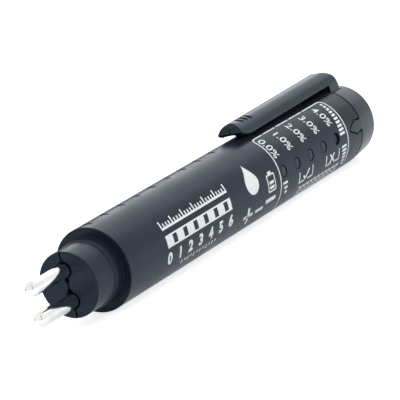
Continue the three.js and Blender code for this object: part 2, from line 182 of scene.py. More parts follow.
def combine(piece, tool, operation="DIFFERENCE"):
    """The piece cut by, joined to or kept inside the tool, which goes."""
    apply(piece, "BOOLEAN", object=tool, operation=operation, solver="EXACT")
    bpy.data.objects.remove(tool)


def joined(pieces, name):
    clear()
    for piece in pieces:
        piece.select_set(True)
    bpy.context.view_layer.objects.active = pieces[0]
    bpy.ops.object.join()
    return named(pieces[0], name)


def copied(piece, name, shift=None):
    """A copy with its own mesh, moved by the shift."""
    twin = piece.copy()
    twin.data = piece.data.copy()
    bpy.context.collection.objects.link(twin)
    named(twin, name)
    if shift:
        twin.location = Vector(shift) * MM
        settle(twin)
    return twin


def in_row(piece, count, pitch):
    """The piece and its copies, in a row along the pen."""
    return [piece] + [copied(piece, piece.name, (i * pitch, 0, 0)) for i in range(1, count)]


def rounded(corners, steps=5):
    """Stations of a turned profile from (s, radius, rounding) corners."""
    stations = []
    for i, (s, r, rounding) in enumerate(corners):
        if not rounding or i in (0, len(corners) - 1):
            stations.append((s, r))
            continue
        here = Vector((s, r))
        back = (Vector(corners[i - 1][:2]) - here).normalized()
        ahead = (Vector(corners[i + 1][:2]) - here).normalized()
        half = back.angle(ahead) / 2
        reach = rounding / math.tan(half)
        centre = here + (back + ahead).normalized() * rounding / math.sin(half)
        first = here + back * reach - centre
        last = here + ahead * reach - centre
        for k in range(steps + 1):
            spoke = first.lerp(last, k / steps).normalized() * rounding
            stations.append(tuple(centre + spoke))
    return stations


def turned(name, stations, centre=(0, 0, 0), axis="x", sides=ROUND_SIDES, through=False):
    """A turned piece: a disc extruded and resized from station to station, along X or towards -Y."""
    lead = Vector((1, 0, 0)) if axis == "x" else Vector((0, -1, 0))
    turn = (0, math.pi / 2, 0) if axis == "x" else (math.pi / 2, 0, 0)
    middle = at(*centre)
    far, radius = stations[0]
    clear()
    bpy.ops.mesh.primitive_circle_add(
        vertices=sides, radius=radius * MM, fill_type="NGON",
        location=middle + lead * far * MM, rotation=turn)
    piece = named(bpy.context.object, name)
    settle(piece)
    edit(piece)
    for s, r in stations[1:]:
        bpy.ops.mesh.extrude_region_move(TRANSFORM_OT_translate={"value": lead * (s - far) * MM})
        if r == 0:
            bpy.ops.mesh.merge(type="CENTER")
            break
        if r != radius:
            k = r / radius
            wider = (1, k, k) if axis == "x" else (k, 1, k)
            bpy.ops.transform.resize(value=wider, center_override=middle + lead * s * MM)
        far, radius = s, r
    done()
    if through:
        pick(piece, lambda f: len(f.vertices) == sides)
        bpy.ops.mesh.delete(type="FACE")
        done()
    face_out(piece)
    return piece


def block(name, low, high):
    clear()
    a, b = at(*low), at(*high)
    bpy.ops.mesh.primitive_cube_add(size=1, location=(a + b) / 2, scale=b - a)
    piece = named(bpy.context.object, name)
    settle(piece)
    return piece


def rod(name, radius, low, high, s, z):
    """A round tool across the pen, along Y."""
    return turned(name, [(low, radius), (high, radius)], (s, 0, z), axis="-y", sides=TOOL_SIDES)


def drawn(name, plan):
    """A plan of (s, half-width) stations as a block through the wall on the lamps' side."""
    middle = (CUT_INSIDE + CUT_OUTSIDE) / 2
    depth = CUT_OUTSIDE - CUT_INSIDE
    first, half = plan[0]
    clear()
    bpy.ops.mesh.primitive_plane_add(size=1, location=at(first, -middle), rotation=(0, math.pi / 2, 0))
    piece = named(bpy.context.object, name)
    piece.scale = (2 * half * MM, depth * MM, 1)
    settle(piece)
    edit(piece)
    for s, reach in plan[1:]:
        bpy.ops.mesh.extrude_region_move(TRANSFORM_OT_translate={"value": ((s - first) * MM, 0, 0)})
        bpy.ops.transform.resize(value=(1, 1, reach / half), center_override=at(s))
        first, half = s, reach
    done()
    face_out(piece)
    return piece


# Materials


class Nodes:
    """A node tree and what is added to it."""

    def __init__(self, owner):
        owner.use_nodes = True
        self.tree = owner.node_tree

    def add(self, kind, **settings):
        node = self.tree.nodes.new(kind)
        for key, value in settings.items():
            setattr(node, key, value)
        return node

    def link(self, a, b):
        self.tree.links.new(a, b)

    def worked(self, operation, *values):
        """A Math node on numbers and outputs."""
        node = self.add("ShaderNodeMath", operation=operation)
        for i, value in enumerate(values):
            if isinstance(value, (int, float)):
                node.inputs[i].default_value = value
            else:
                self.link(value, node.inputs[i])
        return node.outputs[0]

    def ranged(self, value, low, high, start=0.3, end=0.7, interpolation="LINEAR"):
        """From low to high while the value goes from start to end."""
        node = self.add("ShaderNodeMapRange", interpolation_type=interpolation)
        node.inputs["From Min"].default_value = start
        node.inputs["From Max"].default_value = end
        node.inputs["To Min"].default_value = low
        node.inputs["To Max"].default_value = high
        self.link(value, node.inputs["Value"])
        return node.outputs["Result"]

    def mixed(self, share, a, b):
        """Colour a where the share is 0 and b where it is 1."""
        node = self.add("ShaderNodeMix", data_type="RGBA")
        self.link(share, node.inputs["Factor"])
        for index, colour in ((6, a), (7, b)):
            if isinstance(colour, tuple):
                node.inputs[index].default_value = (*colour, 1)
            else:
                self.link(colour, node.inputs[index])
        return node.outputs[2]


class Paint(Nodes):
    """A node material with a Principled surface, in Object coordinates."""

    def __init__(self, name, roughness, metallic=0.0, **sockets):
        self.material = bpy.data.materials.new(name)
        super().__init__(self.material)
        self.surface = self.tree.nodes["Principled BSDF"]
        self.surface.inputs["Roughness"].default_value = roughness
        self.surface.inputs["Metallic"].default_value = metallic
        for key, value in sockets.items():
            self.surface.inputs[key.replace("_", " ")].default_value = value
        self.place = self.add("ShaderNodeTexCoord").outputs["Object"]

    def noise(self, grain, detail=3.0, stretch=(1.0, 1.0, 1.0)):
        """Noise whose grain is so many millimetres, longer along the axes that are stretched."""
        mapping = self.add("ShaderNodeMapping")
        mapping.inputs["Scale"].default_value = [1 / (grain * MM * k) for k in stretch]
        self.link(self.place, mapping.inputs["Vector"])
        noise = self.add("ShaderNodeTexNoise")
        noise.inputs["Scale"].default_value = 1.0
        noise.inputs["Detail"].default_value = detail
        self.link(mapping.outputs["Vector"], noise.inputs["Vector"])
        return noise.outputs["Fac"]

    def clouded(self, grain, dark, light):
        """Faint clouds between two colours."""
        return self.mixed(self.ranged(self.noise(grain), 0, 1), dark, light)

    def colour(self, value):
        self.link(value, self.surface.inputs["Base Color"])

    def rough(self, value):
        self.link(value, self.surface.inputs["Roughness"])

    def bumped(self, *layers):
        """Each layer is a height from 0 to 1 and how many millimetres 1 stands for."""
        last = None
        for value, depth in layers:
            bump = self.add("ShaderNodeBump")
            bump.inputs["Strength"].default_value = 1.0
            bump.inputs["Distance"].default_value = depth * MM
            self.link(value, bump.inputs["Height"])
            if last:
                self.link(last, bump.inputs["Normal"])
            last = bump.outputs["Normal"]
        self.link(last, self.surface.inputs["Normal"])


def moulded(name, dark, light, roughness, grain=0.22, depth=0.004, **sockets):
    """Plastic, rubber or ink: a fine even grain, clouds of colour and handling marks in the gloss."""
    paint = Paint(name, roughness, **sockets)
    paint.colour(paint.clouded(6.0, dark, light))
    handled = paint.noise(9.0, detail=5.0)
    paint.rough(paint.ranged(handled, roughness - 0.05, roughness + 0.06))
    sunken = paint.noise(3.5, detail=1.0)
    paint.bumped((paint.noise(grain, detail=2.0), depth), (sunken, 0.01))
    return paint.material


def metal(name, dark, light, roughness, stretch):
    """Bright metal with fine marks that run along the stretched axes."""
    paint = Paint(name, roughness, metallic=1.0)
    marks = paint.noise(0.12, stretch=stretch)
    paint.colour(paint.clouded(2.5, dark, light))
    paint.rough(paint.ranged(marks, roughness * 0.7, roughness * 1.4))
    paint.bumped((marks, 0.002))
    return paint.material


def board_material():
    """Green coat over copper tracks."""
    black = (0, 0, 0, 1)
    paint = Paint("coated_board", 0.32)
    tracks = paint.add("ShaderNodeTexBrick")
    tracks.inputs["Scale"].default_value = 1 / (14 * MM)
    tracks.inputs["Mortar Size"].default_value = 0.025
    tracks.inputs["Color1"].default_value = black
    tracks.inputs["Color2"].default_value = black
    tracks.inputs["Mortar"].default_value = (1, 1, 1, 1)
    upright = paint.add("ShaderNodeMapping")
    upright.inputs["Rotation"].default_value = (math.pi / 2, 0, 0)
    paint.link(paint.place, upright.inputs["Vector"])
    paint.link(upright.outputs["Vector"], tracks.inputs["Vector"])
    coat = paint.clouded(5.0, (0.010, 0.075, 0.035), (0.014, 0.095, 0.046))
    paint.colour(paint.mixed(tracks.outputs["Color"], coat, (0.035, 0.17, 0.07)))
    paint.bumped((tracks.outputs["Color"], 0.03), (paint.noise(0.5), 0.004))
    return paint.material


def cell_material():
    """A sleeved cell: a plain dark sleeve with a lighter band, bare metal at both ends."""
    paint = Paint("sleeved_cell", 0.3)
    split = paint.add("ShaderNodeSeparateXYZ")
    paint.link(paint.place, split.inputs["Vector"])
    low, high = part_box("battery_cell")

    def past(x, before=0, behind=1):
        """A sharp step at x along the pen."""
        return paint.ranged(split.outputs["X"], before, behind, x, x + 0.1 * MM)

    rear_bare = past(high.x - 0.9 * MM)
    front_bare = past(low.x + 2.0 * MM, 1, 0)
    band = past(high.x - 13.1 * MM)
    bare = paint.worked("MAXIMUM", rear_bare, front_bare)
    sleeve = paint.clouded(4.0, (0.030, 0.060, 0.125), (0.036, 0.070, 0.140))
    sleeve = paint.mixed(band, sleeve, (0.42, 0.43, 0.45))
    paint.colour(paint.mixed(bare, sleeve, (0.60, 0.61, 0.62)))
    paint.link(bare, paint.surface.inputs["Metallic"])
    paint.bumped((paint.noise(0.3), 0.003))
    return paint.material


COOL = (0.62, 0.82, 1.0, 1.0)  # the plastic's bluish gloss
ALL_ROUND = (3.0, 1.0, 1.0)
LENGTHWISE = (8.0, 1.0, 1.0)
CROSSWISE = (0.4, 8.0, 8.0)

case_plastic = moulded(
    "case_satin_plastic", (0.0125, 0.018, 0.032), (0.0155, 0.022, 0.038), 0.27,
    Specular_IOR_Level=0.245, Specular_Tint=COOL)
cap_plastic = moulded(
    "cap_satin_plastic", (0.0115, 0.0165, 0.029), (0.0145, 0.020, 0.035), 0.22,
    Specular_IOR_Level=0.34, Specular_Tint=COOL)
clip_plastic = moulded(
    "clip_satin_plastic", (0.0095, 0.014, 0.026), (0.0125, 0.018, 0.032), 0.22,
    Specular_IOR_Level=0.37, Specular_Tint=COOL)
smoked_lens = moulded(
    "smoked_lens", (0.0125, 0.019, 0.032), (0.0165, 0.024, 0.039), 0.3, grain=0.8, depth=0.001,
    Specular_IOR_Level=0.3, Specular_Tint=COOL)
button_rubber = moulded(
    "button_soft_rubber", (0.012, 0.013, 0.018), (0.017, 0.018, 0.024), 0.68, grain=0.3, depth=0.01)
seal_rubber = moulded(
    "seal_rubber", (0.010, 0.010, 0.011), (0.016, 0.016, 0.017), 0.75, grain=0.3, depth=0.01)
black_resin = moulded(
    "moulded_black_resin", (0.010, 0.010, 0.011), (0.018, 0.018, 0.020), 0.5, grain=0.15, depth=0.01)
white_ink = moulded("white_ink", (0.90, 0.97, 0.99), (0.94, 0.99, 1.0), 0.5, grain=0.15)
bright_nickel = metal("bright_nickel", (0.82, 0.82, 0.79), (0.89, 0.89, 0.86), 0.08, CROSSWISE)
spring_steel = metal("spring_steel", (0.55, 0.56, 0.57), (0.66, 0.67, 0.68), 0.25, ALL_ROUND)
strip_brass = metal("strip_brass", (0.62, 0.43, 0.15), (0.74, 0.55, 0.22), 0.28, LENGTHWISE)
drawn_can = metal("drawn_can", (0.52, 0.53, 0.55), (0.62, 0.63, 0.65), 0.3, LENGTHWISE)
coated_board = board_material()
sleeved_cell = cell_material()


def dress(piece, material, body=None, replaced=()):
    """Gives a piece its material and its body, and hides the nodes that it stands for."""
    piece.data.materials.clear()
    piece.data.materials.append(material)
    if body:
        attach(piece, body)
    if replaced:
        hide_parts(*replaced)
    return piece


# Shells

GROOVES = 9
GROOVE_FIRST = 3.1
GROOVE_PITCH = LAMP_PITCH
GROOVE_DEPTH = 0.5
GROOVE_RADIUS = 0.65
GROOVE_HALF = 9.0
GROOVE_LEAN = 9.0  # degrees from the clip's line towards the side without lamps
LAMP_HOLE = 1.68
LAMP_HOLE_INSIDE = 8.0
PIN_HOLE = 2.02
PIN_MOUTH = 2.22  # the wider and dark first part of a pin's hole
PIN_MOUTH_DEPTH = 1.2
NOTCH_DEPTH = 2.0
NOTCH_SIDES = 32
NOTCHES = [  # y, z and radius
    (-0.15, 5.95, 0.55),
    (-0.1, 1.25, 0.68),
    (0.0, -1.7, 0.8),
    (0.1, -6.05, 0.45),
]
PARTING = 0.03  # half of the gap between the shells
FRONT_LINE = 0.25  # half of the wider line on the nose's front
FRONT_LINE_DEPTH = 0.7
FRONT_LINE_REACH = 9.0
SLOT_PLAN = [  # s and half-width of the arrow that is cut out of the shell
    (114.5, 0.55),
    (118.2, 2.27),
    (118.7, 2.15),
    (119.15, 1.6),
    (119.3, 1.95),
    (BARREL_END + STICK_OUT, 2.0),
]


def shell_blank():
    """Nose, collar, shoulder and barrel in one hollow body."""
    return turned("shell", rounded([
        (NOSE_FRONT, NOSE_DISC, 0),
        (NOSE_FRONT, NOSE, 0.4),
        (COLLAR_FOOT, NOSE, 0.2),
        (COLLAR_BROW, COLLAR, 0.2),
        (0, COLLAR, 0.1),
        (0, BARREL, 0.22),
        (BARREL_END - SEAM, BARREL, 0.04),
        (BARREL_END - SEAM, BORE, 0.1),
        (SHOULDER_WALL, BORE, 0.3),
        (SHOULDER_WALL, NOSE_BORE, 0.1),
        (NOSE_INSIDE, NOSE_BORE, 0),
    ]))


def front_tool(name, radius, end, y, z, sides):
    """A round tool into the nose's front, as far as its end."""
    return turned(name, [(NOSE_FRONT - STICK_OUT, radius), (end, radius)], (0, y, z), sides=sides)


def pin_tools(name, radius, end):
    """The same tool at both pins."""
    tool = front_tool(name, radius, end, 0, PIN_HEIGHT, PIN_SIDES)
    return [tool, copied(tool, name, (0, 0, -2 * PIN_HEIGHT))]


def groove_tools():
    """A row of rods that touch the barrel's top and lean to its back."""
    height = BARREL - GROOVE_DEPTH + GROOVE_RADIUS
    groove = rod("groove_tool", GROOVE_RADIUS, -GROOVE_HALF, GROOVE_HALF, GROOVE_FIRST, height)
    edit(groove)
    bpy.ops.transform.rotate(value=math.radians(GROOVE_LEAN), orient_axis="X", center_override=at(0))
    done()
    return in_row(groove, GROOVES, GROOVE_PITCH)


def cut_body(body):
    """Cuts the grooves, the holes, the notches and line on the front and the slot."""
    lamp_hole = rod("lamp_tool", LAMP_HOLE, LAMP_HOLE_INSIDE, CUT_OUTSIDE, LAMP_FIRST, 0)
    holes = groove_tools() + in_row(lamp_hole, LAMPS, LAMP_PITCH)
    holes += pin_tools("pin_tool", PIN_HOLE, NOSE_INSIDE + STICK_OUT)
    combine(body, joined(holes, "holes"))
    mouths = pin_tools("mouth_tool", PIN_MOUTH, NOSE_FRONT + PIN_MOUTH_DEPTH)
    combine(body, joined(mouths, "mouths"))
    notches = []
    for y, z, radius in NOTCHES:
        notches.append(front_tool("notch_tool", radius, NOSE_FRONT + NOTCH_DEPTH, y, z, NOTCH_SIDES))
    combine(body, joined(notches, "notches"))
    low = (NOSE_FRONT - STICK_OUT, -FRONT_LINE, -FRONT_LINE_REACH)
    high = (NOSE_FRONT + FRONT_LINE_DEPTH, FRONT_LINE, FRONT_LINE_REACH)
    combine(body, block("front_line", low, high))
    combine(body, drawn("slot_tool", SLOT_PLAN))


def make_shells():
    """The two half shells, with a small gap along the parting line."""
    body = shell_blank()
    cut_body(body)
    front = NOSE_FRONT - STICK_OUT
    end = BARREL_END + STICK_OUT
    halves = []
    for side, name in ((-1, "shell_lamp_half"), (1, "shell_back_half")):
        half = copied(body, name)
        y0, y1 = sorted((side * PARTING, side * PAST))
        combine(half, block("half_tool", (front, y0, -PAST), (end, y1, PAST)), "INTERSECT")
        face_out(half)
        smooth(half, degrees=25)
        even_shading(half)
        halves.append(half)
    bpy.data.objects.remove(body)
    return halves


lamp_half, back_half = make_shells()
dress(lamp_half, case_plastic, "barrel", ["shell_lamp_side"])
dress(back_half, case_plastic, "barrel", ["shell_back_side"])

# Pins and lamps

DOME_STEP = 9  # degrees
FLANGE = 2.7
FLANGE_FRONT = -7.65
FLANGE_REAR = -6.15
SHANK = 1.0
SHANK_END = 8.0
LENS = 1.5
LENS_EDGE = 10.72  # how far from the axis the dome starts
LENS_CROWN = 0.22
LENS_STEP = 8  # degrees
LENS_SIDES = 64
LENS_DROP = [0.0, 0.03, 0.0, 0.05, 0.4]  # how far each lamp's dome sits lower than flush
LAMP_RIM = 1.9
LAMP_REAR = 5.1
LAMP_REAR_DISC = 1.2
LAMP_SHELF = 6.7
LAMP_CHAMFER = 0.1


def make_pin():
    """A domed pin, with a flange behind the front wall and a thin shank."""
    dome = []
    for degrees in range(DOME_STEP, 90, DOME_STEP):
        angle = math.radians(degrees)
        dome.append((PIN_TIP + PIN - PIN * math.cos(angle), PIN * math.sin(angle)))
    pin = turned("pin_upper", dome + rounded([
        (PIN_TIP + PIN, PIN, 0),
        (FLANGE_FRONT, PIN, 0),
        (FLANGE_FRONT, FLANGE, 0.15),
        (FLANGE_REAR, FLANGE, 0.15),
        (FLANGE_REAR, SHANK, 0),
        (SHANK_END, SHANK, 0.2),
        (SHANK_END, SHANK / 2, 0),
    ]), (0, 0, PIN_HEIGHT), sides=PIN_SIDES)
    smooth(pin)
    return pin


def make_lamp():
    """A round lens with a low dome on a wider rim that rests inside the shell."""
    edge = LAMP_RIM - LAMP_CHAMFER / 2
    stations = [
        (LAMP_REAR, LAMP_REAR_DISC),
        (LAMP_REAR, edge),
        (LAMP_REAR + LAMP_CHAMFER, LAMP_RIM),
        (LAMP_SHELF - LAMP_CHAMFER, LAMP_RIM),
        (LAMP_SHELF, edge),
        (LAMP_SHELF, LENS),
    ]
    for degrees in range(0, 90, LENS_STEP):
        angle = math.radians(degrees)
        stations.append((LENS_EDGE + LENS_CROWN * math.sin(angle), LENS * math.cos(angle)))
    lamp = turned("lamp_dome_1", stations, (LAMP_FIRST, 0, 0), axis="-y", sides=LENS_SIDES)
    smooth(lamp)
    return lamp


upper_pin = make_pin()
lower_pin = copied(upper_pin, "pin_lower", (0, 0, -2 * PIN_HEIGHT))
dress(upper_pin, bright_nickel, "barrel", ["probe_pin_upper"])
dress(lower_pin, bright_nickel, "barrel", ["probe_pin_lower"])

for i, lamp in enumerate(in_row(make_lamp(), LAMPS, LAMP_PITCH)):
    number = i + 1
    named(lamp, "lamp_dome_%d" % number)
    pick(lamp, lambda co: co.y < at(0, -LAMP_SHELF).y - NEAR, "VERT")
    bpy.ops.transform.translate(value=(0, LENS_DROP[i] * MM, 0))
    done()
    dress(lamp, smoked_lens, "barrel", ["lamp_%d" % number])

# Rear cap and button

PLUG = 8.95
PLUG_FRONT = 113.05
PLUG_BORE = 7.6
CAP_EDGE = 10.13  # radius that the cap narrows to at its end
WELL = 6.896  # the room that the button's flange moves in
WELL_FRONT = 119.35
WELL_REAR = 126.0
WINDOW = 5.05
TONGUE_FRONT = 114.0
TONGUE_REAR = CAP_FRONT + 0.8
TONGUE_INSIDE = 8.3
TONGUE_SINK = 0.06  # how far the tongue's rear dips under the cap's surface
TONGUE_PLAN = [  # s and half-width, a little inside the shell's slot
    (115.0, 0.32),
    (118.3, 1.86),
    (118.62, 2.0),
    (119.1, 1.5),
    (119.3, 1.45),
    (CAP_FRONT + STICK_OUT, 1.45),
]
POCKET_HALF = 4.35
POCKET_FLOOR = 8.9
POCKET_REAR = 126.75
BUTTON = 4.796
BUTTON_END = 130.8
BUTTON_SIDES = 128
BUTTON_FLANGE = 5.896
BUTTON_FLANGE_FRONT = 124.55
BUTTON_FLANGE_REAR = 125.75
BUTTON_DISC = 2.0


def make_cap():
    """The cap with its plug, its arrow-shaped tongue and the pocket for the clip's foot."""
    rim = CAP_FRONT + SEAM
    cap = turned("cap_body", rounded([
        (PLUG_FRONT, PLUG_BORE, 0),
        (PLUG_FRONT, PLUG, 0.35),
        (rim, PLUG, 0.05),
        (rim, BARREL, 0.04),
        (CAP_END, CAP_EDGE, 2.0),
        (CAP_END, WINDOW, 0.2),
        (WELL_REAR, WINDOW, 0.05),
        (WELL_REAR, WELL, 0.05),
        (WELL_FRONT, WELL, 0.05),
        (WELL_FRONT, PLUG_BORE, 0.05),
        (PLUG_FRONT, PLUG_BORE, 0),
    ], steps=8), through=True)
    ring = turned("tongue_ring", [
        (TONGUE_FRONT, TONGUE_INSIDE),
        (TONGUE_FRONT, BARREL),
        (rim, BARREL + 2 * HAIR),
        (TONGUE_REAR, BARREL - TONGUE_SINK),
        (TONGUE_REAR, TONGUE_INSIDE),
        (TONGUE_FRONT, TONGUE_INSIDE),
    ], through=True)
    combine(ring, drawn("tongue_tool", TONGUE_PLAN), "INTERSECT")
    combine(cap, ring, "UNION")
    low = (CAP_FRONT - HAIR, -POCKET_HALF, POCKET_FLOOR)
    combine(cap, block("pocket_tool", low, (POCKET_REAR, POCKET_HALF, CUT_OUTSIDE)))
    face_out(cap)
    smooth(cap, degrees=25)
    return cap


def make_button():
    """The button with its flange and a slightly dished face."""
    button = turned("button_face", rounded([
        (BUTTON_FLANGE_FRONT, BUTTON_DISC, 0),
        (BUTTON_FLANGE_FRONT, BUTTON_FLANGE, 0.1),
        (BUTTON_FLANGE_REAR, BUTTON_FLANGE, 0.1),
        (BUTTON_FLANGE_REAR, BUTTON, 0.05),
        (BUTTON_END, BUTTON, 0.35),
        (BUTTON_END - 0.08, BUTTON * 0.78, 0.1),
        (BUTTON_END - 0.4, BUTTON * 0.3, 0.3),
        (BUTTON_END - 0.42, 0.4, 0),
    ]), sides=BUTTON_SIDES)
    smooth(button)
    return button


dress(make_cap(), cap_plastic, "cap", ["rear_cap"])
dress(make_button(), button_rubber, "button", ["push_button"])

# Clip

CLIP_HALF = 4.2
CLIP_REAR = 126.6
CLIP_BAR_END = 128.0  # behind the foot, where the bar is cut off
CLIP_SIDES = 96
CLIP_CROWN = 4.1  # height of the crown over the sides
CLIP_BROW = CLIP_TOP - CLIP_CROWN  # the height at which the crown starts
CLIP_FLOOR = 9.2
CLIP_BEVEL = 0.32
CLIP_SHARP = 38  # degrees, from which an edge is bevelled
CLIP_PIVOT = (123.825, 0.0, 10.798)
CLIP_LEAN = 0.795  # degrees by which the tip leans to the barrel
TIP_REACH = 3.0  # how far the tools stand out in front of the tip
REAR_ARCH = 5.8
REAR_CORNER = 0.9
TIP_LEAN = 0.35  # how far the tip's face leans back at its top
TIP_CORNER = 0.9
FACE_TOP = (CLIP_TIP + TIP_LEAN, 0, CLIP_TOP - 1)
FACE_TOP_SLOPES = ((-1, 0, 1.65), (-1, 0, 0.3))
HOLLOW = 12.95  # radius of the hollow under the clip
CHIN = (CLIP_TIP - 0.2, 0, HOLLOW + 0.1)
CHIN_SLOPE = (-0.4, 0, -1)
CLIP_GROOVE_DEPTHS = (0.8, 0.95, 1.1)
CLIP_GROOVE_RADIUS = 0.65
CLIP_GROOVE_HALF = 6.0
CLIP_GROOVE_FIRST = CLIP_TIP + 4.2
CLIP_GROOVE_PITCH = 1.95
MOULD_LINE = 0.13  # half of its width
MOULD_LINE_DEPTH = 0.4
MOULD_LINE_TOP = CLIP_TOP - 1.3
BUMP_PLACE = (78.6, 0, 12.95)
BUMP_HALVES = (2.3, 1.9, 1.8)


def clip_bar():
    """A round bar pressed to a flat floor and a slightly lower crown."""
    brow = at(0, 0, CLIP_BROW)
    stations = [(CLIP_TIP - STICK_OUT, CLIP_HALF), (CLIP_BAR_END, CLIP_HALF)]
    bar = turned("clip_body", stations, (0, 0, CLIP_BROW), sides=CLIP_SIDES)
    pick(bar, lambda co: co.z < brow.z - NEAR, "VERT")
    bpy.ops.transform.resize(value=(1, 1, 0), center_override=brow)
    bpy.ops.transform.translate(value=(0, 0, (CLIP_FLOOR - CLIP_BROW) * MM))
    done()
    pick(bar, lambda co: co.z > brow.z + NEAR, "VERT")
    bpy.ops.transform.resize(value=(1, 1, CLIP_CROWN / CLIP_HALF), center_override=brow)
    done()
    face_out(bar)
    return bar


def side_form():
    """The clip as seen from its side, with its rear arch and its slanted and rounded tip."""
    half = CLIP_HALF + HAIR
    low = (CLIP_TIP - TIP_REACH, -half, CLIP_FLOOR - 2 * HAIR)
    side = block("side_tool", low, (CLIP_REAR, half, CLIP_TOP))
    rear = at(CLIP_REAR).x
    top = at(0, 0, CLIP_TOP).z
    floor_height = at(0, 0, CLIP_FLOOR).z
    tip = at(CLIP_TIP).x
    face_top = at(*FACE_TOP)
    chin = at(*CHIN)
    slope = Vector(CHIN_SLOPE)

    def rear_top(a, b):
        return min(a.x, b.x) > rear - 0.1 * MM and min(a.z, b.z) > top - 0.1 * MM

    def along_rear(a, b):
        return a.y * b.y > 0 and max(a.z, b.z) > floor_height and max(a.x, b.x) > tip

    def under(co):
        return (co - chin).dot(slope) > -10 * FINE

    def along_tip(a, b):
        front = max(a.x, b.x) < face_top.x + FINE and max(a.z, b.z) < face_top.z + FINE
        below = under(a) and under(b) and min(a.x, b.x) < chin.x + MM
        return (front and a.y * b.y > 0) or below

    pick(side, rear_top, "EDGE")
    bpy.ops.mesh.bevel(offset=REAR_ARCH * MM, segments=24, profile=0.5, affect="EDGES")
    done()
    pick(side, along_rear, "EDGE")
    bpy.ops.mesh.bevel(offset=REAR_CORNER * MM, segments=12, affect="EDGES")
    done()
    planes = [(face_top, normal) for normal in FACE_TOP_SLOPES] + [(chin, CHIN_SLOPE)]
    for place, normal in planes:
        edit(side)
        bpy.ops.mesh.bisect(plane_co=place, plane_no=normal, use_fill=True, clear_outer=True)
        done()
    face_out(side)
    pick(side, along_tip, "EDGE")
    bpy.ops.mesh.bevel(offset=TIP_CORNER * MM, segments=8, affect="EDGES")
    done()
    return side


def clip_tools():
    """The grip grooves behind the tip and the mould line on the tip's face."""
    tools = []
    for i, depth in enumerate(CLIP_GROOVE_DEPTHS):
        s = CLIP_GROOVE_FIRST + i * CLIP_GROOVE_PITCH
        z = CLIP_TOP - depth + CLIP_GROOVE_RADIUS
        tools.append(rod("groove_tool", CLIP_GROOVE_RADIUS, -CLIP_GROOVE_HALF, CLIP_GROOVE_HALF, s, z))
    low = (CLIP_TIP - TIP_REACH, -MOULD_LINE, CLIP_FLOOR)
    high = (CLIP_TIP + MOULD_LINE_DEPTH, MOULD_LINE, MOULD_LINE_TOP)
    return tools + [block("mould_line", low, high)]


def make_bump():
    """The small round bump under the clip's tip."""
    clear()
    bpy.ops.mesh.primitive_uv_sphere_add(
        segments=48, ring_count=24, radius=MM, location=at(*BUMP_PLACE), scale=BUMP_HALVES)
    bump = named(bpy.context.object, "bump_tool")
    settle(bump)
    return bump


def make_clip():
    """The clip is cut from its bar, then leant about its foot."""
    clip = clip_bar()
    combine(clip, side_form(), "INTERSECT")
    hollow = [(CLIP_TIP - TIP_REACH, HOLLOW), (CAP_FRONT, HOLLOW)]
    combine(clip, turned("hollow_tool", hollow))
    apply(clip, "BEVEL", width=CLIP_BEVEL * MM, segments=4, limit_method="ANGLE",
          angle_limit=math.radians(CLIP_SHARP))
    combine(clip, joined(clip_tools(), "grooves"))
    combine(clip, make_bump(), "UNION")
    edit(clip)
    bpy.ops.transform.rotate(
        value=math.radians(CLIP_LEAN), orient_axis="Y", center_override=at(*CLIP_PIVOT))
    done()
    face_out(clip)
    smooth(clip, degrees=32)
    even_shading(clip)
    return clip


dress(make_clip(), clip_plastic, "clip", ["pocket_clip"])

# What the shells hold

CELL = 5.24
CELL_SIDES = 96
KNOB = 1.9  # radius of the raised contact
KNOB_HEIGHT = 1.0
COIL = 3.2
COILS = 4
COIL_STEPS = 24
WIRE = 0.35
WIRE_SIDES = 12

cell_low, cell_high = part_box("battery_cell")
cell_y = (cell_low.y + cell_high.y) / 2 / MM
cell_z = (cell_low.z + cell_high.z) / 2 / MM - AXIS_HEIGHT


def make_cell():
    """The cell with its raised contact, its crimped front and a plain rear."""
    front = cell_low.x / MM - SHOULDER_X
    face = front + KNOB_HEIGHT
    rear = cell_high.x / MM - SHOULDER_X
    cell = turned("cell_body", rounded([
        (front, 1.2, 0),
        (front, KNOB, 0.2),
        (face, KNOB, 0.05),
        (face, 3.9, 0.1),
        (face + 0.3, 4.3, 0.1),
        (face, 4.7, 0.1),
        (face, CELL, 0.3),
        (rear, CELL, 0.35),
        (rear, 4.0, 0.1),
        (rear - 0.25, 3.7, 0.1),
        (rear - 0.25, 2.0, 0),
    ]), (0, cell_y, cell_z), sides=CELL_SIDES)
    smooth(cell)
    return cell


def make_spring():
    """A wire wound round the cell's axis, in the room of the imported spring."""
    low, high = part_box("cell_spring")
    axis = at(0, cell_y, cell_z)
    pitch = (high.x - low.x - 2 * WIRE * MM) / COILS
    clear()
    bpy.ops.mesh.primitive_circle_add(
        vertices=WIRE_SIDES, radius=WIRE * MM, fill_type="NGON",
        location=(low.x + WIRE * MM, axis.y + COIL * MM, axis.z))
    spring = named(bpy.context.object, "spring_coil")
    settle(spring)
    edit(spring)
    for _ in range(COILS * COIL_STEPS):
        bpy.ops.mesh.extrude_region_move(TRANSFORM_OT_translate={"value": (pitch / COIL_STEPS, 0, 0)})
        bpy.ops.transform.rotate(value=math.tau / COIL_STEPS, orient_axis="X", center_override=axis)
    done()
    face_out(spring)
    smooth(spring, degrees=40)
    return spring


dress(make_cell(), sleeved_cell, "barrel", ["battery_cell"])
dress(make_spring(), spring_steel, "cap", ["cell_spring"])

for node, material in {
    "pin_seal": seal_rubber,
    "pin_lead_upper": strip_brass,
    "pin_lead_lower": strip_brass,
    "circuit_board": coated_board,
    "controller_chip": black_resin,
    "capacitor": drawn_can,
    "resistor_1": black_resin,
    "resistor_2": black_resin,
    "resistor_3": black_resin,
    "front_contact": spring_steel,
    "contact_strip": strip_brass,
    "switch_board": coated_board,
    "switch_body": black_resin,
    "switch_stem": black_resin,
}.items():
    dress(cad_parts[node], material)

# Print

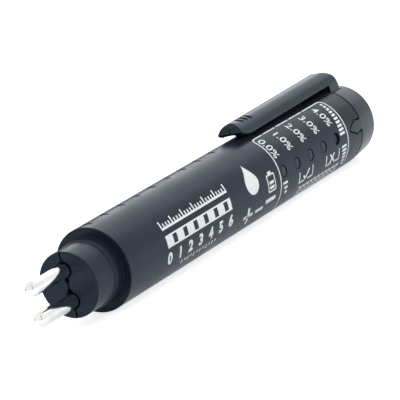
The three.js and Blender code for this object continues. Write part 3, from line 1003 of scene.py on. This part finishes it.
INK_FOOT = BARREL - INK
INK_STEP = 0.5  # how far apart the print is cut to follow the barrel
STROKE = 0.42
MEET = 0.001  # the gap where one stroke ends at another, so that each stays a closed shell
PANEL_FRONT = 74.67
PANEL_REAR = 112.71
PANEL_HALF = 12.34
PANEL_CORNER = 1.7
PANEL_GAPS = (80.7, 87.6, 94.9, 102.3)
GAP_HALF = 0.3
BRACKET_PAIRS = (84.7, 99.8)
BRACKET_TOP = -2.9
BRACKET_FOOT = -6.2
BRACKET_SPAN = 7.3 + STROKE
BRACKET_REACH = 3.0
SIGN_STROKE = 0.6
TICK = ((87.1, -4.5, 87.88, -5.35), (87.9, -5.81, 90.3, -3.2))
CROSS = ((102.1, -3.2, 104.5, -5.7), (104.5, -3.2, 103.52, -4.22), (103.08, -4.68, 102.1, -5.7))
ROW_FIRST = LAMP_FIRST - 0.15
ROW_HEIGHT = 7.45
ROW_FIGURE = (3.7, 0.008)  # size and weight of a figure beside a lamp
LEVEL_END = 111.6
LEVEL_PITCH = 1.13
LEVEL_HALF = 0.36
LEVEL_ROWS = [  # y and length of the first bar, how many and how much each grows
    (PANEL_HALF - PANEL_CORNER, 0.9, 10, 0.2),
    (-3.2, 2.7, 6, -0.3),
]
RULER_FRONT = 17.5
RULER_REAR = 49.2
RULER_FOOT = 3.1
RULER_LINE = 3.7
RULER_TICKS = 25
RULER_TICK = 0.5
RULER_PITCH = 1.3
RULER_GROUP = 4  # every so many ticks one is tall
RULER_TALL = 2.5
RULER_SHORT = 1.6
BLOCKS = 7
BLOCK_PITCH = 5
BLOCK_LENGTH = 3.1
BLOCK_HALF = 1.6
BLOCKS_REAR = 49.1
SCALE_FIRST = RULER_FRONT + 0.7
SCALE_HEIGHT = -4.6
SCALE_FIGURE = (4.2, 0.045)  # size and weight of a figure under the blocks
FINE_TICKS = 12
FINE_TICK = 0.5
FINE_FIRST = 24.5
FINE_PITCH = 1.5
FINE_TOP = -7.1
FINE_FEET = (-8.4, -7.9)
CELL_FRAME = (67.9, -3.4, 71.9, 1.4)
CELL_CORNER = 0.5
CELL_STROKE = 0.4
SIGN_BARS = [  # x and y from and to: the battery's knob, its bars and its line, the plus, the minus
    (69.1, 1.4 + MEET, 70.7, 2.1),
    (68.8, -2.6, 71.0, -1.8),
    (68.8, -1.3, 71.0, -0.5),
    (66.6, -4.9, 71.7, -6.1),
    (55.2, -6.05, 57.1 - MEET, -7.0),
    (58.1 + MEET, -6.05, 60.0, -7.0),
    (57.1, -4.1, 58.1, -8.95),
    (61.4, -6.05, 65.4, -7.0),
]
LINES = 3
LINE = 0.7
LINE_FRONT = 75.8
LINE_REAR = 78.2
LINE_SHRINK = 0.6
LINE_TOP = -2.9
LINE_PITCH = 1.4
DASHES = 11
DASH = 0.85
DASH_FIRST = 86.0
DASH_PITCH = 2.1
DASH_ROWS = ((-7.7, 1.5), (-9.1, 1.1), (-10.5, 1.5))  # y, length
DROP_PLACE = (61.0, 1.6)
DROP_SIZE = 3.0
DROP_SIDES = 48
DROP_STEPS = 12
DROP_NARROWING = 0.35
DROP_RISE = 0.85


def bar(x0, y0, x1, y1):
    clear()
    bpy.ops.mesh.primitive_plane_add(size=1, location=((x0 + x1) / 2, (y0 + y1) / 2, 0))
    piece = bpy.context.object
    piece.scale = (abs(x1 - x0), abs(y1 - y0), 1)
    settle(piece)
    return piece


def slanted(x0, y0, x1, y1):
    """A stroke from one point to another."""
    length = math.hypot(x1 - x0, y1 - y0)
    piece = bar(-length / 2, -SIGN_STROKE / 2, length / 2, SIGN_STROKE / 2)
    piece.rotation_euler.z = math.atan2(y1 - y0, x1 - x0)
    piece.location = ((x0 + x1) / 2, (y0 + y1) / 2, 0)
    settle(piece)
    return piece


def outline(x0, y0, x1, y1, radius, width=STROKE):
    """A frame with rounded corners."""
    piece = bar(x0, y0, x1, y1)
    edit(piece, "VERT")
    bpy.ops.mesh.bevel(offset=radius, segments=8, affect="VERTICES")
    bpy.ops.mesh.select_all(action="SELECT")
    bpy.ops.mesh.select_mode(type="FACE")
    bpy.ops.mesh.inset(thickness=width)
    bpy.ops.mesh.delete(type="FACE")
    done()
    return piece


def words(text, x, y, size, weight, turn=0.0):
    """Plain figures, centred on a point.

    Turn 0 reads along the pen and 90 from the clip to the lamps.
    """
    clear()
    bpy.ops.object.text_add(location=(x, y, 0), rotation=(0, 0, -math.radians(turn)))
    piece = bpy.context.object
    piece.data.body = text
    piece.data.size = size
    piece.data.align_x = "CENTER"
    piece.data.align_y = "CENTER"
    piece.data.resolution_u = 4
    piece.data.offset = weight * size
    bpy.ops.object.convert(target="MESH")
    piece = bpy.context.object
    settle(piece)
    return piece


def drop(x, y, size):
    """A plain filled drop with its point up.

    It is a disc, whose upper rows are narrowed and then raised.
    """
    clear()
    bpy.ops.mesh.primitive_circle_add(
        vertices=DROP_SIDES, radius=size, fill_type="NGON", location=(x, y, 0))
    piece = bpy.context.object
    settle(piece)

    def pick_row(k):
        height = size * math.sin(math.tau * k / DROP_SIDES)
        pick(piece, lambda co: abs(co.y - y - height) < 0.001 * size, "VERT")
        return k / DROP_STEPS

    for k in range(1, DROP_STEPS + 1):
        narrower = 1 - DROP_NARROWING * pick_row(k) ** 2
        bpy.ops.transform.resize(value=(narrower, 1, 1), center_override=(x, y, 0))
        done()
    for k in range(DROP_STEPS, 0, -1):
        rise = DROP_RISE * size * pick_row(k) ** 3
        bpy.ops.transform.translate(value=(0, rise, 0))
        done()
    return piece


def roll_on(pieces, name):
    """The flat pieces as one print on the barrel, as thin closed ink.

    They are drawn with x along the pen and y up from the row of lamps to the clip.
    """
    art = joined(pieces, name)
    ys = [v.co.y for v in art.data.vertices]
    edit(art)
    y = math.floor(min(ys) / INK_STEP) * INK_STEP
    while y < max(ys):
        bpy.ops.mesh.select_all(action="SELECT")
        bpy.ops.mesh.bisect(plane_co=(0, y, 0), plane_no=(0, 1, 0))
        y += INK_STEP
    bpy.ops.mesh.select_all(action="SELECT")
    bpy.ops.mesh.remove_doubles(threshold=1e-4)
    done()
    pick(art, lambda f: f.normal.z < 0)
    bpy.ops.mesh.flip_normals()
    done()
    apply(art, "SOLIDIFY", thickness=INK_TOP - INK_FOOT, offset=1.0)
    for v in art.data.vertices:
        radius = INK_TOP if v.co.z > (INK_TOP - INK_FOOT) / 2 else INK_FOOT
        around = math.pi / 2 - v.co.y / BARREL
        v.co = at(v.co.x, -radius * math.sin(around), radius * math.cos(around))
    face_out(art)
    smooth(art)
    return dress(art, white_ink, "barrel")


def panel_frame():
    """The frame round the lamps and their figures, with gaps in its upper line."""
    panel = outline(
        PANEL_FRONT - STROKE / 2, -PANEL_HALF, PANEL_REAR + STROKE / 2, PANEL_HALF, PANEL_CORNER)
    edit(panel)
    for x in PANEL_GAPS:
        for edge in (x - GAP_HALF, x + GAP_HALF):
            bpy.ops.mesh.select_all(action="SELECT")
            bpy.ops.mesh.bisect(plane_co=(edge, 0, 0), plane_no=(1, 0, 0))
    done()

    def in_gap(f):
        return f.center.y > 0 and any(abs(f.center.x - x) < GAP_HALF - 0.01 for x in PANEL_GAPS)

    pick(panel, in_gap)
    bpy.ops.mesh.delete(type="FACE")
    done()
    return [panel]


def row_figures():
    """A share of water beside each lamp."""
    return [words("%d.0%%" % i, ROW_FIRST + i * LAMP_PITCH, ROW_HEIGHT, *ROW_FIGURE, turn=90)
            for i in range(LAMPS)]


def bracket(corner, way):
    """An upright and a foot that runs from it the given way."""
    upright = bar(corner, BRACKET_TOP, corner + way * STROKE, BRACKET_FOOT)
    start = corner + way * (STROKE + MEET)
    foot = bar(start, BRACKET_FOOT, corner + way * BRACKET_REACH, BRACKET_FOOT + STROKE)
    return [upright, foot]


def lamp_brackets():
    """Two pairs of brackets, one round a tick and one round a cross."""
    marks = []
    for s in BRACKET_PAIRS:
        marks += bracket(s, 1) + bracket(s + BRACKET_SPAN, -1)
    marks += [slanted(*ends) for ends in TICK + CROSS]
    return marks


def rear_levels():
    """Bars that grow towards the lamps and shrink past them."""
    bars = []
    for first, length, count, growth in LEVEL_ROWS:
        for i in range(count):
            y = first - i * LEVEL_PITCH
            front = LEVEL_END - length - growth * i
            bars.append(bar(front, y - LEVEL_HALF, LEVEL_END, y + LEVEL_HALF))
    return bars


def ruler():
    """A line with a row of ticks on it."""
    strokes = [bar(RULER_FRONT, RULER_FOOT, RULER_REAR, RULER_LINE)]
    for i in range(RULER_TICKS):
        x = RULER_FRONT + RULER_PITCH * i
        height = RULER_SHORT if i % RULER_GROUP else RULER_TALL
        strokes.append(bar(x, RULER_LINE + MEET, x + RULER_TICK, RULER_FOOT + height))
    return strokes


def scale_blocks():
    """A row of filled blocks between two lines."""
    inside = BLOCK_HALF - STROKE
    strokes = [bar(RULER_FRONT, side * BLOCK_HALF, BLOCKS_REAR, side * inside) for side in (1, -1)]
    for i in range(BLOCKS):
        x = RULER_FRONT + BLOCK_PITCH * i
        strokes.append(bar(x, MEET - inside, min(x + BLOCK_LENGTH, BLOCKS_REAR), inside - MEET))
    return strokes


def scale_figures():
    """One figure under each block."""
    return [words("%d" % i, SCALE_FIRST + i * BLOCK_PITCH, SCALE_HEIGHT, *SCALE_FIGURE)
            for i in range(BLOCKS)]


def fine_ticks():
    """A row of ticks that are long and short in turn."""
    ticks = []
    for i in range(FINE_TICKS):
        x = FINE_FIRST + FINE_PITCH * i
        ticks.append(bar(x, FINE_TOP, x + FINE_TICK, FINE_FEET[i % 2]))
    return ticks


def cell_sign():
    """A battery with its two bars and a line under it, and a plus and a minus."""
    return [outline(*CELL_FRAME, CELL_CORNER, CELL_STROKE)] + [bar(*ends) for ends in SIGN_BARS]


def low_marks():
    """Three lines that shrink, and three rows of dashes."""
    marks = []
    for i in range(LINES):
        y = LINE_TOP - LINE_PITCH * i
        marks.append(bar(LINE_FRONT + LINE_SHRINK * i, y, LINE_REAR, y - LINE))
    for i in range(DASHES):
        x = DASH_FIRST + DASH_PITCH * i
        marks += [bar(x, y, x + length, y - DASH) for y, length in DASH_ROWS]
    return marks


roll_on(panel_frame(), "panel_line")
roll_on(row_figures(), "row_figures")
roll_on(lamp_brackets(), "lamp_brackets")
roll_on(rear_levels(), "rear_levels")
roll_on(ruler(), "side_scale")
roll_on(scale_blocks(), "scale_blocks")
roll_on(scale_figures(), "scale_figures")
roll_on(fine_ticks(), "fine_ticks")
roll_on(cell_sign(), "cell_sign")
roll_on(low_marks(), "low_marks")
roll_on([drop(*DROP_PLACE, DROP_SIZE)], "fluid_drop")

# Camera, floor and light

CAMERA_PLACE = Vector((-567.96, -397.13, 146.92)) * MM
CAMERA_RIGHT = Vector((0.5096, -0.8182, -0.2663))
CAMERA_UP = Vector((0.3060, -0.1170, 0.9448))
CAMERA_AHEAD = Vector((0.8042, 0.5630, -0.1907))
SENSOR = 36.0
LENS_LENGTH = 245.17
WORLD_LEVEL = 1.15
WORLD_LOW = 0.25
FLOOR_IN_VIEW = 0.75
FLOOR_IN_GLOSS = 0.44
FLOOR_HUE_IN_GLOSS = (0.88, 0.95, 1.05)
FLOOR_SIZE = 12  # metres
DIM_AHEAD = 0.85  # how much less bright the far side of the room is in the gloss
DIM_FLOOR = 0.88  # the same for the floor beyond the pen
DIM_ACROSS = (0.006, 0.035)  # metres in Y over which the floor grows dim
DIM_ALONG = (-0.072, -0.056)  # the same in X
DIM_ROOM = (0.905, 0.945)  # how straight ahead the room grows dim, where 1 is dead ahead
SHADE_ROOM = (-0.1, 0.8)  # how far to the front the room's light grows weak
STAND_HALF = 0.07  # half the width of the dark camera stand that the bright metal mirrors
STAND_REACH = 0.5  # how straight towards the camera it starts, where 1 is dead straight
STAND_DARKNESS = 0.9
SOFTBOX_HUE = (0.86, 0.93, 1.0)
SOFTBOXES = [  # name, direction, distance and size in metres, power
    ("top_softbox", (0.80, 0.0, 0.59), 0.9, 0.6, 0.74),
    ("back_softbox", (0.80, 0.46, 0.38), 0.9, 0.3, 0.36),
]


def make_camera():
    data = bpy.data.cameras.new("camera")
    data.sensor_fit = "HORIZONTAL"
    data.sensor_width = SENSOR
    data.lens = LENS_LENGTH
    data.clip_start = 0.01
    data.clip_end = 20.0
    camera = bpy.data.objects.new("camera", data)
    bpy.context.scene.collection.objects.link(camera)
    turn = Matrix((CAMERA_RIGHT, CAMERA_UP, -CAMERA_AHEAD)).transposed().to_4x4()
    camera.matrix_world = Matrix.Translation(CAMERA_PLACE) @ turn
    bpy.context.scene.camera = camera


def floor_material():
    """A pale floor that is white in view, and dimmer in the gloss beyond the pen."""
    material = bpy.data.materials.new("white_floor")
    nodes = Nodes(material)
    plain = nodes.tree.nodes["Principled BSDF"]
    plain.inputs["Base Color"].default_value = (0.85, 0.85, 0.85, 1)
    plain.inputs["Roughness"].default_value = 0.9
    plain.inputs["Specular IOR Level"].default_value = 0.0
    path = nodes.add("ShaderNodeLightPath")
    in_view = path.outputs["Is Camera Ray"]
    in_gloss = path.outputs["Is Glossy Ray"]
    glow = nodes.add("ShaderNodeEmission")
    nodes.link(nodes.mixed(in_gloss, (1, 1, 1), FLOOR_HUE_IN_GLOSS), glow.inputs["Color"])
    reflected = nodes.worked("MULTIPLY", in_gloss, FLOOR_IN_GLOSS)
    nodes.link(nodes.worked("MULTIPLY_ADD", in_view, FLOOR_IN_VIEW, reflected), glow.inputs["Strength"])
    lit = nodes.add("ShaderNodeAddShader")
    nodes.link(plain.outputs[0], lit.inputs[0])
    nodes.link(glow.outputs[0], lit.inputs[1])
    place = nodes.add("ShaderNodeTexCoord")
    split = nodes.add("ShaderNodeSeparateXYZ")
    nodes.link(place.outputs["Object"], split.inputs["Vector"])
    beyond = nodes.ranged(split.outputs["Y"], 0, DIM_FLOOR, *DIM_ACROSS, "SMOOTHSTEP")
    behind = nodes.ranged(split.outputs["X"], 0, 1, *DIM_ALONG, "SMOOTHSTEP")
    dimmed = nodes.worked("MULTIPLY", nodes.worked("MULTIPLY", beyond, behind), in_gloss)
    dark = nodes.add("ShaderNodeEmission")
    dark.inputs["Strength"].default_value = 0.0
    shown = nodes.add("ShaderNodeMixShader")
    nodes.link(dimmed, shown.inputs["Fac"])
    nodes.link(lit.outputs[0], shown.inputs[1])
    nodes.link(dark.outputs[0], shown.inputs[2])
    nodes.link(shown.outputs[0], nodes.tree.nodes["Material Output"].inputs["Surface"])
    return material


def make_floor():
    clear()
    bpy.ops.mesh.primitive_plane_add(size=FLOOR_SIZE, location=(0, 0, 0))
    floor = named(bpy.context.object, "floor")
    floor.data.materials.append(floor_material())


def make_world():
    """A pale room, weaker from the front; white in view, and in the gloss with a dim far side."""
    world = bpy.data.worlds.new("studio")
    bpy.context.scene.world = world
    nodes = Nodes(world)
    background = nodes.tree.nodes["Background"]
    background.inputs["Strength"].default_value = 1.0
    path = nodes.add("ShaderNodeLightPath")
    in_gloss = path.outputs["Is Glossy Ray"]
    place = nodes.add("ShaderNodeTexCoord")

    def facing(direction):
        """How far a ray of the world goes along a direction, from -1 to 1."""
        node = nodes.add("ShaderNodeVectorMath", operation="DOT_PRODUCT")
        node.inputs[1].default_value = direction
        nodes.link(place.outputs["Generated"], node.inputs[0])
        return node.outputs["Value"]

    def without(share):
        return nodes.worked("SUBTRACT", 1.0, share)

    light = nodes.ranged(facing((-1, 0, 0)), WORLD_LEVEL, WORLD_LOW, *SHADE_ROOM, "SMOOTHSTEP")
    stand_side = Vector((CAMERA_AHEAD.y, -CAMERA_AHEAD.x, 0)).normalized()
    beside = nodes.worked("LESS_THAN", nodes.worked("ABSOLUTE", facing(stand_side)), STAND_HALF)
    before = nodes.worked("GREATER_THAN", facing(-CAMERA_AHEAD), STAND_REACH)
    stand = nodes.worked("MULTIPLY", nodes.worked("MULTIPLY", beside, before), in_gloss)
    far = nodes.ranged(facing(CAMERA_AHEAD), 0, DIM_AHEAD, *DIM_ROOM, "SMOOTHSTEP")
    away = nodes.worked("MULTIPLY", far, in_gloss)
    darker = nodes.worked("MULTIPLY", stand, STAND_DARKNESS)
    white = nodes.worked("MULTIPLY", without(darker), without(away))
    shown = nodes.worked("MAXIMUM", path.outputs["Is Camera Ray"], in_gloss)
    shown = nodes.worked("MAXIMUM", shown, path.outputs["Is Transmission Ray"])
    seen = nodes.add("ShaderNodeMix")
    nodes.link(shown, seen.inputs["Factor"])
    nodes.link(light, seen.inputs["A"])
    nodes.link(white, seen.inputs["B"])
    nodes.link(seen.outputs["Result"], background.inputs["Color"])


def make_softboxes():
    for name, toward, distance, size, power in SOFTBOXES:
        data = bpy.data.lights.new(name, "AREA")
        data.shape = "SQUARE"
        data.size = size
        data.energy = power
        data.color = SOFTBOX_HUE
        box = bpy.data.objects.new(name, data)
        bpy.context.scene.collection.objects.link(box)
        direction = Vector(toward).normalized()
        box.location = direction * distance
        box.rotation_euler = direction.to_track_quat("Z", "Y").to_euler()


make_camera()
make_floor()
make_world()
make_softboxes()
bpy.context.scene.view_settings.view_transform = "Standard"
